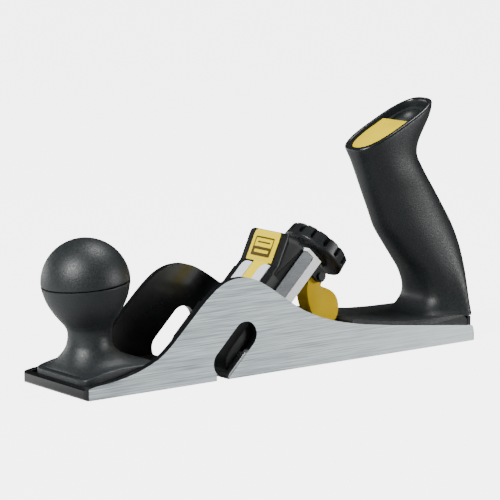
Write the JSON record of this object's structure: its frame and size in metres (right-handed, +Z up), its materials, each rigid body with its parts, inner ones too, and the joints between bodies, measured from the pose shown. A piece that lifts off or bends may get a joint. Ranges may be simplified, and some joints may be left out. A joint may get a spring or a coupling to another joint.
{
  "type": "rebate hand plane",
  "caption": "Hand plane with a full-width blade, open round-ended side slots, ball knob, tall raked handle, screw depth adjuster and a cam lever that locks the blade.",
  "frame": {"origin": "centre of the sole: half-way along the casting and across it, on the ground face", "axes": "+X towards the heel, +Y towards the plane's right side, +Z up; the sole lies in z = 0"},
  "size_m": [0.2629, 0.058, 0.1307],
  "materials": {
    "ground_iron": "ground sides and sole, gloss black paint inside",
    "charcoal_plastic": "fine texture",
    "gloss_black": "gloss",
    "matt_black": "satin",
    "yellow": "satin",
    "pale_grey": "satin",
    "bright_steel": "plated",
    "dark_steel": "satin",
    "blade_steel": "ground",
    "zinc": "zinc plated"
  },
  "bodies": {
    "base": {"body": "ground_iron", "knob_base": "charcoal_plastic", "knob_bolt": "zinc", "handle": "charcoal_plastic", "handle_screw_front": "zinc", "handle_screw_rear": "zinc", "adjuster_stud": "zinc"},
    "knob_top": {"knob_cap": "charcoal_plastic"},
    "carriage": {"carrier_plate": "bright_steel", "blade_holder": "dark_steel", "blade": "blade_steel", "blade_pin_left": "zinc", "blade_pin_right": "zinc", "lever_cap": "matt_black", "cap_screw": "zinc", "cap_label": "yellow", "panel_left": "pale_grey", "panel_right": "pale_grey", "wheel_yoke": "dark_steel", "lever_bracket": "matt_black", "lever_pivot_pin": "zinc", "pressure_pin": "zinc"},
    "wheel": {"adjuster_wheel": "gloss_black"},
    "lever": {"cam_lever": "yellow"},
    "drawer": {"blade_store": "yellow"}
  },
  "joints": [
    {"name": "carriage_slide", "type": "slide", "parent": "base", "child": "carriage", "axis": [0.7071, 0, 0.7071], "range_m": [-0.001, 0.004]},
    {"name": "wheel_spin", "type": "hinge", "parent": "carriage", "child": "wheel", "pos_m": [0.03325, 0, 0.0502], "axis": [0.7071, 0, 0.7071], "range_deg": [-361, 1441]},
    {"name": "lever_swing", "type": "hinge", "parent": "carriage", "child": "lever", "pos_m": [0.0283, -0.00985, 0.04384], "axis": [0, -1, 0], "range_deg": [0, 32]},
    {"name": "drawer_slide", "type": "slide", "parent": "base", "child": "drawer", "axis": [-0.4384, 0, 0.8988], "range_m": [0, 0.026]},
    {"name": "knob_cap_lift", "type": "slide", "parent": "base", "child": "knob_top", "axis": [-0.0645, 0, 0.9979], "range_m": [0, 0.02]}
  ],
  "couplings": [
    {"joint": "wheel_spin", "follows": "carriage_slide", "rad_per_m": 6283.2}
  ]
}
